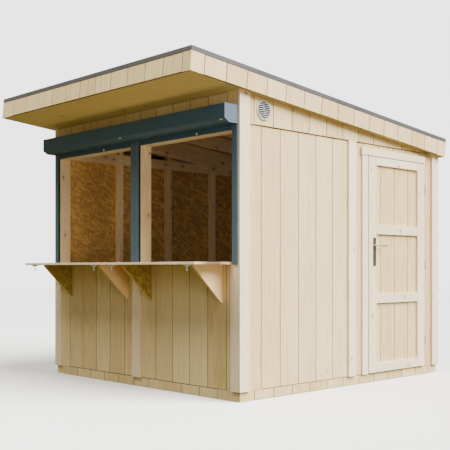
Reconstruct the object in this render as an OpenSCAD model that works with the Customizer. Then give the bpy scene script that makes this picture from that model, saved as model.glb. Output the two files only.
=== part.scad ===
// Wooden market hut with a mono-pitch roof, two serving openings and a side door.
// Millimetres. +X is the door side, +Y runs from the serving front to the back, +Z is up.
// The origin is the centre of the footprint, on the ground.

/* [Hut] */
// Width across the corner boards
hut_w = 2430; // [2200:10:3000]
// Depth across the corner boards
hut_d = 2560; // [2500:10:3200]
// Height of the floor, and of the plinth around it
plinth_h = 73; // [60:1:120]
// Height of the top of the wall panels
panel_top = 1998; // [1960:1:2040]
// Height of the soffit above the front corner boards
eaves_h = 2232; // [2200:1:2400]
// Slope of the roof towards the back, in degrees
roof_pitch = 5.4; // [4:0.1:5.4]

/* [Wall build-up] */
// Thickness of the corner boards and cover battens
trim_t = 19; // [16:1:24]
// Width of a corner board on the sides and the back
corner_w = 103; // [80:1:130]
// Width of a corner board on the front
front_corner_w = 81; // [60:1:100]
// Thickness of the cladding
clad_t = 19; // [14:1:28]
// How far the upper cladding stands proud of the lower one
upper_proud = 10; // [4:1:14]
// Thickness of the sheet lining behind the cladding
lining_t = 12; // [9:1:18]
// Width of a stud
stud_w = 45; // [38:1:60]
// Depth of a stud
stud_d = 70; // [58:1:90]
// Height of a horizontal plate or rail in the wall frames
plate_h = 45; // [38:1:60]
// Distance from the front to the first stud of a side wall
first_stud = 640; // [500:5:700]
// Spacing of the studs in a side wall
stud_pitch = 604; // [450:1:650]
// Number of studs in the left wall
side_studs = 3; // [2:1:3]
// Number of studs in the back wall
back_studs = 4; // [2:1:6]
// Width of the cover battens over the panel joints
batten_w = 96; // [70:1:120]
// Distance from the front to the cover batten of a side wall
side_batten_y = 1240; // [900:10:1300]

/* [Floor] */
// Thickness of the floor boards
floor_t = 19; // [16:1:28]
// Number of floor bearers, an odd number
bearers = 5; // [3:2:7]
// Width of a floor bearer
bearer_w = 45; // [38:1:70]

/* [Roof] */
// Overhang of the roof at the front
front_over = 506; // [300:1:600]
// Overhang of the roof at each side
side_over = 44; // [40:1:120]
// Overhang of the roof at the back
back_over = 36; // [30:1:120]
// Height of the fascia
fascia_h = 138; // [120:1:180]
// Thickness of the fascia
fascia_t = 19; // [16:1:24]
// Distance that the fascia reaches below the soffit
fascia_lip = 4; // [2:1:10]
// Thickness of the soffit sheet
soffit_t = 12; // [9:1:15]
// Width of a rafter
rafter_w = 45; // [38:1:60]
// Number of rafters between the two at the edges
rafters_inside = 5; // [3:1:7]
// Thickness of the roof boards
deck_t = 18; // [16:1:22]
// Thickness of the roof covering
cover_t = 4; // [3:1:6]
// Width of the kerb along the front and side edges
kerb_w = 40; // [30:1:60]
// Height of the kerb above the roof boards
kerb_h = 12; // [10:1:20]
// Thickness of the edge metal
metal_t = 2; // [1.5:0.5:3]
// Drop of the drip edge at the back
drip_drop = 38; // [25:1:50]
// Reach of the drip edge's lip
drip_lip = 9; // [5:1:12]
// Width of the drip edge's flange on the covering
drip_flange = 80; // [50:5:120]

/* [Serving openings] */
// Height of the serving sill and of the counters' top
sill_h = 1003; // [900:1:1100]
// Height of the underside of the lintel
head_h = 1950; // [1900:1:1970]
// Width of a post beside an opening, and of a shutter guide
post_w = 53; // [45:1:70]
// Height of the lintel
lintel_h = 95; // [70:1:120]
// Depth of a shutter guide
guide_d = 22; // [18:1:30]
// How far the shutter guides stand proud of the corner boards
guide_proud = 11; // [5:1:20]
// Width of the groove in a shutter guide
groove_w = 11; // [9:1:14]
// Depth of the groove in a shutter guide
groove_d = 30; // [20:1:40]

/* [Shutter boxes] */
// Projection of a box in front of the corner boards
box_out = 133; // [110:1:180]
// Height of the top of a box
box_top = 2121; // [2100:1:2160]
// Height of the underside of a box
box_bottom = 1988; // [1970:1:2000]
// Height of the chamfer on the lower front edge of a box
box_chamfer_h = 28; // [15:1:45]
// Depth of that chamfer
box_chamfer_d = 44; // [15:1:60]
// Thickness of the end slat
slat_t = 8; // [6:1:9]
// Clearance of the end slat from the lintel's level
slat_drop = 1; // [0:1:4]

/* [Counters] */
// Depth of a counter
counter_d = 355; // [250:1:450]
// Thickness of a counter
counter_t = 18; // [15:1:28]
// Distance from the side of the hut to the end of a counter
counter_inset = 85; // [75:1:150]
// Gap between the two counters
counter_gap = 20; // [5:1:60]
// Length of a bracket under the counter
bracket_l = 262; // [180:1:340]
// Height of a bracket on the wall
bracket_h = 278; // [180:1:340]
// Height of the blunt ends of a bracket
bracket_nose = 12; // [5:1:30]
// Thickness of a bracket
bracket_t = 20; // [18:1:30]
// Distance from the left end of a counter to the middle of its bracket
bracket_left = 165; // [60:1:300]
// Distance from the right end of a counter to the middle of its bracket
bracket_right = 126; // [60:1:300]
// Distance from the left end of a counter to its catch
catch_left = 105; // [50:1:300]
// Distance from the right end of a counter to its catch
catch_right = 120; // [50:1:300]
// Distance from the front edge of a counter to its catch
catch_in = 36; // [30:1:60]
// Length of a catch plate
catch_l = 74; // [40:1:90]
// Width of a catch plate
catch_w = 34; // [20:1:60]
// Thickness of a catch plate
catch_t = 7; // [3:1:12]
// Length of the pin under a catch plate
pin_l = 40; // [25:1:60]
// Radius of that pin
pin_r = 3.5; // [2.5:0.5:6]
// Radius of the knob at the pin's end
knob_r = 6.5; // [5:0.5:10]

/* [Vent] */
// Distance from the front to the middle of the vent
vent_y = 250; // [200:1:400]
// Height of the middle of the vent
vent_z = 2112; // [2085:1:2130]
// Radius of the vent grille
vent_r = 75; // [60:1:80]
// Radius of the hole behind the grille
vent_hole_r = 62; // [50:1:66]
// Thickness of the grille
vent_t = 8; // [6:1:12]
// Number of louvres
louvres = 9; // [7:1:11]
// Thickness of a louvre
louvre_t = 5; // [3:0.5:6]
// Depth of a louvre from the wall
louvre_d = 4; // [3:0.5:6]
// Width of the bar that divides the louvres
divider_w = 6; // [4:0.5:10]
// Slant of the louvres across the grille, in degrees
louvre_slant = 4; // [0:1:8]

/* [Door] */
// Distance from the front to the latch edge of the leaf
leaf_y = 1506; // [1440:1:1560]
// Width of the leaf
leaf_w = 823; // [700:1:830]
// Height of the top of the leaf
leaf_top = 1896; // [1800:1:1900]
// Clearance around the leaf
leaf_gap = 6; // [5.5:0.5:8]
// Gap between the leaf and the cladding on the hinge side
hinge_gap = 11; // [10.5:0.5:14]
// Thickness of the stiles and rails of the leaf
stile_t = 19; // [16:1:24]
// Width of a stile
stile_w = 107; // [80:1:130]
// Height of a rail between two panels
rail_h = 76; // [60:1:100]
// Height of the top rail
top_rail_h = 67; // [55:1:90]
// Thickness of the boards behind the stiles and rails
panel_t = 13; // [11:1:13]
// How far the door stop reaches past the edge of the leaf
stop_w = 12; // [8:1:20]
// Height of the threshold above the floor
threshold_h = 20; // [12:1:30]
// Width of the casing board beside the leaf
jamb_w = 76; // [60:1:90]
// How far that board lies behind the face of the corner boards
jamb_back = 3; // [1:1:8]
// Height of the casing board above the leaf
casing_h = 60; // [45:1:70]
// How far the board above the leaf stands proud of the one beside it
casing_proud = 5; // [2:1:8]
// How far the board above the leaf runs past the one beside it
casing_past = 15; // [5:1:25]

/* [Hinges] */
// Heights of the middles of the hinges above the foot of the leaf
hinge_low = 230; // [150:10:350]
// Height of the top hinge below the top of the leaf
hinge_high = 230; // [150:10:350]
// Distance from the leaf's edge to the hinge axis
hinge_off = 7; // [6.5:0.5:8]
// Distance of the hinge axis in front of the leaf's face
hinge_out = 2; // [0:0.5:4]
// Radius of a hinge knuckle
knuckle_r = 5.5; // [5:0.5:6]
// Length of a hinge knuckle
knuckle_l = 40; // [30:1:60]
// Gap between the two knuckles of a hinge
knuckle_gap = 1; // [0.5:0.5:2]
// Radius of a hinge pin
hinge_pin_r = 3.5; // [3:0.1:4]
// Height of a hinge pin above the knuckle that holds it
hinge_pin_l = 33; // [25:1:38]
// Clearance around a hinge pin
pin_fit = 0.05; // [0.02:0.01:0.1]
// Thickness of a hinge flap
flap_t = 2; // [1.5:0.5:3]

/* [Lock] */
// Height of the lever's axis
lever_z = 1150; // [1050:1:1200]
// Distance from the leaf's edge to the lever's axis
backset = 76; // [60:1:90]
// Length of a lock plate
lock_l = 240; // [200:1:280]
// Width of a lock plate
lock_w = 40; // [34:1:50]
// Thickness of a lock plate
lock_t = 3; // [2:0.5:5]
// Height of the lever's axis above the lower end of the plate
lock_below = 173; // [140:1:200]
// Radius of the lever's neck
neck_r = 8; // [6:0.5:10]
// Length of the neck in front of the plate
neck_l = 34; // [25:1:50]
// Length of the lever's arm
arm_l = 128; // [100:1:140]
// Radius of the lever's arm
arm_r = 8.5; // [6:0.5:10]
// Clearance around the neck in the plates
neck_fit = 0.06; // [0.02:0.01:0.1]
// Clearance around the neck in the leaf
neck_hole = 3; // [2:0.5:5]
// Radius of the keyhole barrel
barrel_r = 9; // [7:0.5:10]
// Distance of the keyhole barrel below the lever
barrel_below = 72; // [60:1:92]
// Height of the keyhole barrel above the plate
barrel_out = 4; // [2:1:8]

/* [Hidden] */
$fn = 48;

// A step that is larger than the whole hut, for cuts that run right through
far = 9000;
// Joint between pieces that lie end to end
joint = 1;

// Half sizes across the corner boards, the cladding, the lining, the studs and the room
hw = hut_w / 2;
hd = hut_d / 2;
clad_x = hw - trim_t;
clad_y = hd - trim_t;
line_x = clad_x - clad_t;
line_y = clad_y - clad_t;
stud_x = line_x - lining_t;
stud_y = line_y - lining_t;
room_x = stud_x - stud_d;
room_y = stud_y - stud_d;
// Half sizes across the upper cladding, outside and inside
upper_x = clad_x + upper_proud;
upper_y = clad_y + upper_proud;
upper_in_x = upper_x - clad_t;
upper_in_y = upper_y - clad_t;

// Inner faces of the posts beside the openings, and half the width of the centre post
open_x = clad_x - post_w;
guide_front = -hd - guide_proud;
guide_back = guide_front + guide_d;
sill_under = sill_h - counter_t;

// The roof's own frame: y runs down the slope from above the front corner boards
roof_y0 = -round(front_over / cos(roof_pitch));
roof_y1 = round((hut_d + back_over) / cos(roof_pitch));
roof_x = hw + side_over;
fascia_in_x = roof_x - fascia_t;
fascia_top = fascia_h - fascia_lip;
deck_top = fascia_top + deck_t;
cover_top = deck_top + cover_t;
kerb_top = deck_top + kerb_h;
rafter_x = fascia_in_x - rafter_w;

// Places along the side walls
door_y0 = -hd + leaf_y;
door_y1 = door_y0 + leaf_w;
gap_y0 = door_y0 - leaf_gap;
gap_y1 = door_y1 + hinge_gap;
stop_y0 = door_y0 + stop_w;
stop_y1 = door_y1 - stop_w;
leaf_z0 = plinth_h + leaf_gap;
casing_z0 = leaf_top + leaf_gap;
leaf_in_x = hw - stile_t - panel_t;
hinge_y = door_y1 + hinge_off;
hinge_x = hw + hinge_out;
lever_y = door_y0 + backset;
hinge_zs = [leaf_z0 + hinge_low, (leaf_z0 + leaf_top) / 2, leaf_top - hinge_high];
back_step = (2 * room_x - back_studs * stud_w) / (back_studs + 1) + stud_w;

// Ends of the counters, left one first
counter_ends = [
    [-hw + counter_inset, -counter_gap / 2],
    [counter_gap / 2, hw - counter_inset]];

function soffit_z(y) = eaves_h - tan(roof_pitch) * (y + hd);

// A square-edged piece between two corners
module bar(low, high) {
    translate(low) cube(high - low);
}

module on_roof() {
    translate([0, -hd, eaves_h]) rotate([-roof_pitch, 0, 0]) children();
}

// Cuts its children off along the roof's slope, at a height above the soffit
module under_roof(lift = 0) {
    intersection() {
        children();
        on_roof() bar([-far, -far, -far], [far, far, lift]);
    }
}

module both_sides() {
    children();
    mirror([1, 0, 0]) children();
}

// ---------------------------------------------------------------- floor

module floor_bearers() {
    step = (2 * line_x - bearer_w) / (bearers - 1);
    color("burlywood")
    for (i = [0 : bearers - 1]) {
        x = -line_x + i * step;
        bar([x, -line_y, 0], [x + bearer_w, line_y, plinth_h - floor_t]);
    }
}

module floor_deck() {
    color("tan")
    bar([-line_x, -line_y, plinth_h - floor_t], [line_x, line_y, plinth_h]);
}

module plinth_front_back() {
    color("wheat")
    for (y = [-clad_y, line_y])
        bar([-line_x, y, 0], [line_x, y + clad_t, plinth_h]);
}

module plinth_sides() {
    color("wheat") both_sides()
    bar([line_x, -clad_y, 0], [clad_x, clad_y, plinth_h]);
}

// ---------------------------------------------------------------- cladding

module front_wall_lower() {
    color("wheat")
    bar([-clad_x, -clad_y, plinth_h], [clad_x, -line_y, sill_under]);
}

module front_wall_upper() {
    color("wheat") under_roof()
    bar([-clad_x, -upper_y, panel_top], [clad_x, -upper_in_y, far]);
}

module left_wall() {
    color("wheat") under_roof()
    bar([-clad_x, -line_y, plinth_h], [-line_x, line_y, panel_top]);
}

module back_wall() {
    color("wheat") under_roof()
    bar([-clad_x, line_y, plinth_h], [clad_x, clad_y, far]);
}

module right_wall_front() {
    color("wheat")
    bar([line_x, -line_y, plinth_h], [clad_x, gap_y0, panel_top]);
}

module right_wall_rear() {
    color("wheat") under_roof()
    bar([line_x, gap_y1, plinth_h], [clad_x, line_y, panel_top]);
}

module right_wall_over_door() {
    color("wheat") under_roof()
    bar([line_x, gap_y0, casing_z0], [clad_x, gap_y1, panel_top]);
}

// The triangle of upper cladding on the right, notched behind the corner boards
module gable() {
    under_roof() {
        bar([upper_in_x, -upper_in_y, panel_top], [clad_x, hd - corner_w, far]);
        bar([clad_x, -hd + corner_w, panel_top], [upper_x, hd - corner_w, far]);
    }
}

module gable_left() {
    color("wheat") mirror([1, 0, 0]) gable();
}

module gable_right() {
    color("wheat") difference() {
        gable();
        translate([0, -hd + vent_y, vent_z]) rotate([0, 90, 0])
            cylinder(r = vent_hole_r, h = far);
    }
}

module wall_linings() {
    color("peru") {
        under_roof() {
            bar([-line_x, -room_y, plinth_h], [-stud_x, line_y, panel_top]);
            bar([stud_x, -room_y, plinth_h], [line_x, stop_y0, panel_top]);
            bar([stud_x, stop_y1, plinth_h], [line_x, line_y, panel_top]);
        }
        bar([-line_x, -line_y, plinth_h], [line_x, -stud_y, sill_under - plate_h]);
        under_roof()
        bar([-stud_x + joint, stud_y, plinth_h], [stud_x - joint, line_y, panel_top]);
    }
}

// ---------------------------------------------------------------- wall frames

// Full studs up to the top rail, and short ones from there to the gable's sloping rail
module side_stud(y) {
    low = panel_top + plate_h;
    bar([room_x, y, plinth_h + plate_h], [stud_x, y + stud_w, panel_top - plate_h]);
    if (soffit_z(y + stud_w) - plate_h > low)
        under_roof(soffit_t - plate_h)
        bar([room_x, y, low], [stud_x, y + stud_w, far]);
}

module wall_studs() {
    color("goldenrod") {
        mirror([1, 0, 0])
        for (i = [0 : side_studs - 1]) side_stud(-hd + first_stud + i * stud_pitch);
        side_stud(-hd + first_stud);
        side_stud(stop_y0 - stud_w);
        side_stud(stop_y1);
        for (x = [-upper_in_x, -stud_w / 2, upper_in_x - stud_w])
            under_roof(soffit_t - plate_h)
            bar([x, -upper_in_y, head_h + lintel_h], [x + stud_w, -room_y, far]);
        for (i = [1 : back_studs]) {
            x = -room_x + i * back_step - stud_w;
            bar([x, room_y, plinth_h + plate_h], [x + stud_w, stud_y, panel_top - plate_h]);
        }
    }
}

module bottom_plates() {
    color("goldenrod") {
        bar([-stud_x, -room_y + joint, plinth_h], [-room_x, stud_y, plinth_h + plate_h]);
        bar([room_x, -room_y + joint, plinth_h], [stud_x, stop_y0, plinth_h + plate_h]);
        bar([room_x, stop_y1, plinth_h], [stud_x, stud_y, plinth_h + plate_h]);
        for (y = [-stud_y, room_y])
            bar([-room_x + joint, y, plinth_h], [room_x - joint, y + stud_d, plinth_h + plate_h]);
        bar([room_x, stop_y0 + joint, plinth_h],
            [line_x, stop_y1 - joint, plinth_h + threshold_h]);
    }
}

// Double level rails at the panels' tops, sloping ones under the rafters, and the door's header
module top_rails() {
    color("goldenrod") {
        both_sides() {
            under_roof(soffit_t)
            bar([room_x, -room_y, panel_top - plate_h], [stud_x, stud_y, panel_top + plate_h]);
            intersection() {
                on_roof() bar([room_x, -far, soffit_t - plate_h], [stud_x, far, soffit_t]);
                bar([0, -room_y, panel_top], [far, stud_y, far]);
            }
        }
        under_roof(soffit_t)
        bar([-room_x + joint, room_y, panel_top - plate_h], [room_x - joint, stud_y, far]);
        bar([room_x, stop_y0 + joint, leaf_top - stop_w],
            [line_x, stop_y1 - joint, panel_top - plate_h - joint]);
    }
}

// Posts beside and between the serving openings, thicker where the guides are fixed
module front_posts() {
    low = plinth_h + plate_h;
    color("goldenrod") {
        both_sides() {
            bar([open_x, -stud_y, plinth_h], [line_x, -room_y, head_h]);
            bar([open_x, -line_y, sill_under], [line_x, -room_y, head_h]);
            bar([open_x, guide_back, sill_under], [clad_x, -line_y, head_h]);
        }
        bar([-post_w, -stud_y, low], [post_w, -room_y, head_h]);
        bar([-post_w, -clad_y, sill_under], [post_w, -room_y, head_h]);
        bar([-post_w, guide_back, sill_h], [post_w, -clad_y, head_h]);
    }
}

module front_rails() {
    color("goldenrod") {
        for (s = [-1, 1]) {
            low = min(s * post_w, s * open_x);
            high = max(s * post_w, s * open_x);
            bar([low, -line_y, sill_under - plate_h], [high, -room_y, sill_under]);
            bar([low, -hd, sill_under], [high, -room_y, sill_h]);
        }
        bar([-clad_x, guide_back, head_h], [clad_x, -line_y, box_bottom]);
        bar([-clad_x, -clad_y, box_bottom], [clad_x, -line_y, panel_top]);
        bar([-line_x, -line_y, head_h], [line_x, -room_y, panel_top]);
        bar([-upper_in_x, -upper_in_y, panel_top], [upper_in_x, -room_y, head_h + lintel_h]);
        intersection() {
            on_roof() bar([-upper_in_x, -far, soffit_t - plate_h], [upper_in_x, far, soffit_t]);
            bar([-far, -upper_in_y, panel_top], [far, -room_y, far]);
        }
    }
}

// ---------------------------------------------------------------- boards over the joints

module cover_battens() {
    color("cornsilk") {
        both_sides()
        bar([clad_x, -hd + side_batten_y, plinth_h],
            [hw, -hd + side_batten_y + batten_w, panel_top]);
        bar([-post_w, -hd, plinth_h], [post_w, -clad_y, sill_h]);
        under_roof() bar([-batten_w / 2, clad_y, plinth_h], [batten_w / 2, hd, far]);
    }
}

module corner_boards_sides() {
    color("cornsilk") both_sides() under_roof()
    for (y = [-hd, hd - corner_w])
        bar([clad_x, y, plinth_h], [hw, y + corner_w, far]);
}

module corner_boards_ends() {
    color("cornsilk") both_sides() {
        bar([clad_x - front_corner_w, -hd, plinth_h], [clad_x, -clad_y, sill_under]);
        under_roof() bar([hw - corner_w, clad_y, plinth_h], [clad_x, hd, far]);
    }
}

// ---------------------------------------------------------------- roof

module rafters() {
    step = 2 * (room_x - rafter_w / 2) / (rafters_inside - 1);
    color("goldenrod") on_roof() {
        for (x = [-fascia_in_x, rafter_x])
            bar([x, roof_y0 + fascia_t, soffit_t], [x + rafter_w, roof_y1 - fascia_t, fascia_top]);
        for (i = [0 : rafters_inside - 1]) {
            x = -room_x + i * step;
            bar([x, roof_y0 + fascia_t, soffit_t], [x + rafter_w, roof_y1 - fascia_t, fascia_top]);
        }
    }
}

module roof_deck() {
    color("sandybrown") on_roof() {
        bar([-roof_x, roof_y0, fascia_top], [roof_x, roof_y1, deck_top]);
        for (x = [-roof_x, roof_x - kerb_w])
            bar([x, roof_y0, fascia_top], [x + kerb_w, roof_y1, kerb_top]);
        bar([-roof_x, roof_y0, fascia_top], [roof_x, roof_y0 + kerb_w, kerb_top]);
    }
}

module roof_covering() {
    color("dimgray") on_roof()
    bar([-roof_x + kerb_w, roof_y0 + kerb_w, deck_top], [roof_x - kerb_w, roof_y1, cover_top]);
}

module soffit() {
    front_y = (hd - upper_in_y) / cos(roof_pitch) - soffit_t * tan(roof_pitch);
    back_y = (hd + line_y) / cos(roof_pitch);
    color("burlywood") on_roof() {
        bar([-fascia_in_x, roof_y0 + fascia_t, 0], [fascia_in_x, front_y, soffit_t]);
        bar([-fascia_in_x, back_y, 0], [fascia_in_x, roof_y1 - fascia_t, soffit_t]);
        for (x = [-fascia_in_x, upper_in_x])
            bar([x, front_y + joint, 0], [x + fascia_in_x - upper_in_x, back_y - joint, soffit_t]);
    }
}

module fascia_front_back() {
    color("wheat") on_roof()
    for (y = [roof_y0, roof_y1 - fascia_t])
        bar([-roof_x, y, -fascia_lip], [roof_x, y + fascia_t, fascia_top]);
}

module fascia_sides() {
    color("wheat") both_sides() on_roof()
    bar([fascia_in_x, roof_y0 + fascia_t, -fascia_lip], [roof_x, roof_y1 - fascia_t, fascia_top]);
}

// Folded metal over the kerb: outer face, top and a turn-down onto the covering
module roof_edge_trim() {
    top = kerb_top + metal_t;
    color("dimgray") on_roof() {
        both_sides() {
            bar([roof_x, roof_y0 - metal_t, fascia_top], [roof_x + metal_t, roof_y1, top]);
            bar([roof_x - kerb_w - metal_t, roof_y0 + kerb_w, kerb_top], [roof_x, roof_y1, top]);
            bar([roof_x - kerb_w - metal_t, roof_y0 + kerb_w, cover_top],
                [roof_x - kerb_w, roof_y1, top]);
            bar([roof_x - kerb_w - metal_t, roof_y0 + kerb_w, kerb_top],
                [roof_x + metal_t, roof_y1, top]);
        }
        bar([-roof_x, roof_y0 - metal_t, fascia_top], [roof_x, roof_y0, top]);
        bar([-roof_x - metal_t, roof_y0 - metal_t, kerb_top],
            [roof_x + metal_t, roof_y0 + kerb_w + metal_t, top]);
        bar([-roof_x + kerb_w, roof_y0 + kerb_w, cover_top],
            [roof_x - kerb_w, roof_y0 + kerb_w + metal_t, top]);
    }
}

// Apron over the back fascia with a kicked-out lip, and a flange on the covering
module drip_edge() {
    out = roof_y1 + metal_t;
    low = cover_top - drip_drop;
    top = kerb_top + metal_t;
    side = roof_x + metal_t;
    inside = roof_x - kerb_w - metal_t;
    color("dimgray") on_roof() {
        translate([-side, 0, 0]) rotate([90, 0, 90]) linear_extrude(2 * side)
        polygon([
            [roof_y1, cover_top], [roof_y1, low], [roof_y1 + drip_lip, low - drip_lip],
            [out + drip_lip, low - drip_lip + metal_t], [out, low + metal_t], [out, cover_top]]);
        bar([-inside, roof_y1 - drip_flange, cover_top], [inside, out, cover_top + metal_t]);
        for (x = [-side, inside])
            bar([x, roof_y1, cover_top], [x + side - inside, out, top]);
    }
}

// ---------------------------------------------------------------- shutters

module shutter_boxes() {
    length = clad_x - joint / 2;
    color("darkslategray")
    for (x = [-clad_x, joint / 2])
        translate([x, 0, 0]) rotate([90, 0, 90]) linear_extrude(length)
        polygon([
            [-upper_y, box_bottom], [-upper_y, box_top], [-hd - box_out, box_top],
            [-hd - box_out, box_bottom + box_chamfer_h],
            [-hd - box_out + box_chamfer_d, box_bottom]]);
}

// One guide, from its outer edge at x to the opening at x + width, grooved on that side
module guide(x, width, foot) {
    mid = (guide_front + guide_back) / 2;
    edge = x + width;
    difference() {
        bar([min(x, edge), guide_front, foot], [max(x, edge), guide_back, box_bottom]);
        bar([min(edge, edge - sign(width) * groove_d), mid - groove_w / 2, 0],
            [max(edge, edge - sign(width) * groove_d), mid + groove_w / 2, far]);
    }
}

// The outer guides stand on the corner boards, the middle ones on the counters and the batten
module shutter_guides() {
    color("slategray") both_sides() {
        guide(clad_x, -post_w, sill_under);
        guide(joint / 2, post_w - joint / 2, sill_h);
    }
}

module shutter_end_slats() {
    mid = (guide_front + guide_back) / 2;
    inside = groove_d / 2;
    color("darkslategray") both_sides()
    bar([post_w - inside, mid - slat_t / 2, head_h - slat_drop],
        [open_x + inside, mid + slat_t / 2, box_bottom]);
}

// ---------------------------------------------------------------- counters

module counters() {
    color("cornsilk")
    for (c = counter_ends)
        bar([c[0], -hd - counter_d, sill_under], [c[1], -hd, sill_h]);
}

module counter_brackets() {
    color("burlywood")
    for (c = counter_ends, x = [c[0] + bracket_left, c[1] - bracket_right])
        translate([x - bracket_t / 2, -clad_y, sill_under]) rotate([90, 0, 90])
        linear_extrude(bracket_t)
        polygon([
            [0, 0], [-bracket_l - trim_t, 0], [-bracket_l - trim_t, -bracket_nose],
            [-bracket_nose, -bracket_h], [0, -bracket_h]]);
}

module counter_catches() {
    color("silver")
    for (c = counter_ends, x = [c[0] + catch_left, c[1] - catch_right])
        translate([x, -hd - counter_d + catch_in, sill_under]) {
            bar([-catch_l / 2, -catch_w / 2, -catch_t], [catch_l / 2, catch_w / 2, 0]);
            translate([0, 0, -pin_l]) cylinder(r = pin_r, h = pin_l);
            translate([0, 0, -pin_l]) sphere(knob_r);
        }
}

// ---------------------------------------------------------------- vent

module vent_grille() {
    step = 2 * vent_hole_r / (louvres + 1);
    color("gainsboro")
    translate([upper_x, -hd + vent_y, vent_z]) rotate([0, 90, 0]) rotate([0, 0, 90]) {
        difference() {
            cylinder(r = vent_r, h = vent_t);
            cylinder(r = vent_hole_r, h = far, center = true);
        }
        intersection() {
            cylinder(r = vent_r, h = vent_t);
            union() {
                bar([-divider_w / 2, -vent_r, 0], [divider_w / 2, vent_r, vent_t]);
                for (i = [1 : louvres])
                    translate([0, -vent_hole_r + i * step, 0]) rotate([0, 0, -louvre_slant])
                    bar([-vent_r, -louvre_t / 2, 0], [vent_r, louvre_t / 2, louvre_d]);
            }
        }
    }
}

// ---------------------------------------------------------------- door

// The board beside the leaf and the longer, prouder one over it
module door_casing() {
    color("cornsilk") {
        bar([clad_x, gap_y0 - jamb_w, plinth_h], [hw - jamb_back, gap_y0, casing_z0]);
        bar([clad_x, gap_y0 - jamb_w - casing_past, casing_z0],
            [hw - jamb_back + casing_proud, gap_y1, casing_z0 + casing_h]);
    }
}

// Knuckles on the wall with the pins on which the leaf turns
module hinge_pins() {
    color("silver")
    for (z = hinge_zs) translate([hinge_x, hinge_y, z]) {
        translate([0, 0, -knuckle_l]) cylinder(r = knuckle_r, h = knuckle_l);
        cylinder(r = hinge_pin_r, h = hinge_pin_l);
        bar([line_x - hinge_x, gap_y1 - hinge_y - flap_t, -knuckle_l],
            [0, gap_y1 - hinge_y, 0]);
    }
}

// Knuckles on the leaf, bored for the pins
module door_hinges() {
    color("silver")
    for (z = hinge_zs) translate([hinge_x, hinge_y, z + knuckle_gap])
        difference() {
            union() {
                cylinder(r = knuckle_r, h = knuckle_l);
                bar([leaf_in_x - hinge_x, -hinge_off, 0], [0, -hinge_off + flap_t, knuckle_l]);
            }
            cylinder(r = hinge_pin_r + pin_fit, h = 2 * knuckle_l, center = true);
        }
}

module spindle_hole(r) {
    translate([0, lever_y, lever_z]) rotate([0, 90, 0]) cylinder(r = r, h = far);
}

module door_stiles() {
    color("cornsilk") difference() {
        for (y = [door_y0, door_y1 - stile_w])
            bar([hw - stile_t, y, leaf_z0], [hw, y + stile_w, leaf_top]);
        spindle_hole(neck_r + neck_hole);
    }
}

module door_rails() {
    panel_h = (leaf_top - top_rail_h - leaf_z0 - 3 * rail_h) / 3;
    rail_zs = [for (i = [0 : 2]) leaf_z0 + i * (panel_h + rail_h)];
    color("cornsilk") {
        for (z = rail_zs)
            bar([hw - stile_t, door_y0 + stile_w, z], [hw, door_y1 - stile_w, z + rail_h]);
        bar([hw - stile_t, door_y0 + stile_w, leaf_top - top_rail_h],
            [hw, door_y1 - stile_w, leaf_top]);
    }
}

module door_panels() {
    color("wheat") difference() {
        bar([leaf_in_x, door_y0, leaf_z0], [hw - stile_t, door_y1, leaf_top]);
        spindle_hole(neck_r + neck_hole);
    }
}

module lock_plates() {
    low = lever_z - lock_below;
    color("dimgray") difference() {
        for (x = [hw, leaf_in_x - lock_t]) {
            bar([x, lever_y - lock_w / 2, low], [x + lock_t, lever_y + lock_w / 2, low + lock_l]);
        }
        spindle_hole(neck_r + neck_fit);
    }
    color("silver")
    for (x = [hw + lock_t, leaf_in_x - lock_t - barrel_out])
        translate([x, lever_y, lever_z - barrel_below]) rotate([0, 90, 0])
        cylinder(r = barrel_r, h = barrel_out);
}

// A lever on each side of the leaf, on one spindle
module door_lever() {
    out = hw + lock_t + neck_l;
    in = leaf_in_x - lock_t - neck_l;
    color("silver") {
        translate([in, lever_y, lever_z]) rotate([0, 90, 0]) cylinder(r = neck_r, h = out - in);
        for (x = [in, out]) translate([x, lever_y, lever_z]) {
            sphere(arm_r);
            rotate([-90, 0, 0]) cylinder(r = arm_r, h = arm_l);
            translate([0, arm_l, 0]) sphere(arm_r);
        }
    }
}

floor_bearers();
floor_deck();
plinth_front_back();
plinth_sides();
front_wall_lower();
front_wall_upper();
left_wall();
back_wall();
right_wall_front();
right_wall_rear();
right_wall_over_door();
gable_left();
gable_right();
wall_linings();
wall_studs();
bottom_plates();
top_rails();
front_posts();
front_rails();
cover_battens();
corner_boards_sides();
corner_boards_ends();
rafters();
roof_deck();
roof_covering();
soffit();
fascia_front_back();
fascia_sides();
roof_edge_trim();
drip_edge();
shutter_boxes();
shutter_guides();
shutter_end_slats();
counters();
counter_brackets();
counter_catches();
vent_grille();
door_casing();
hinge_pins();
door_hinges();
door_stiles();
door_rails();
door_panels();
lock_plates();
door_lever();
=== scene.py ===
import math
import random
from contextlib import contextmanager

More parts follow.
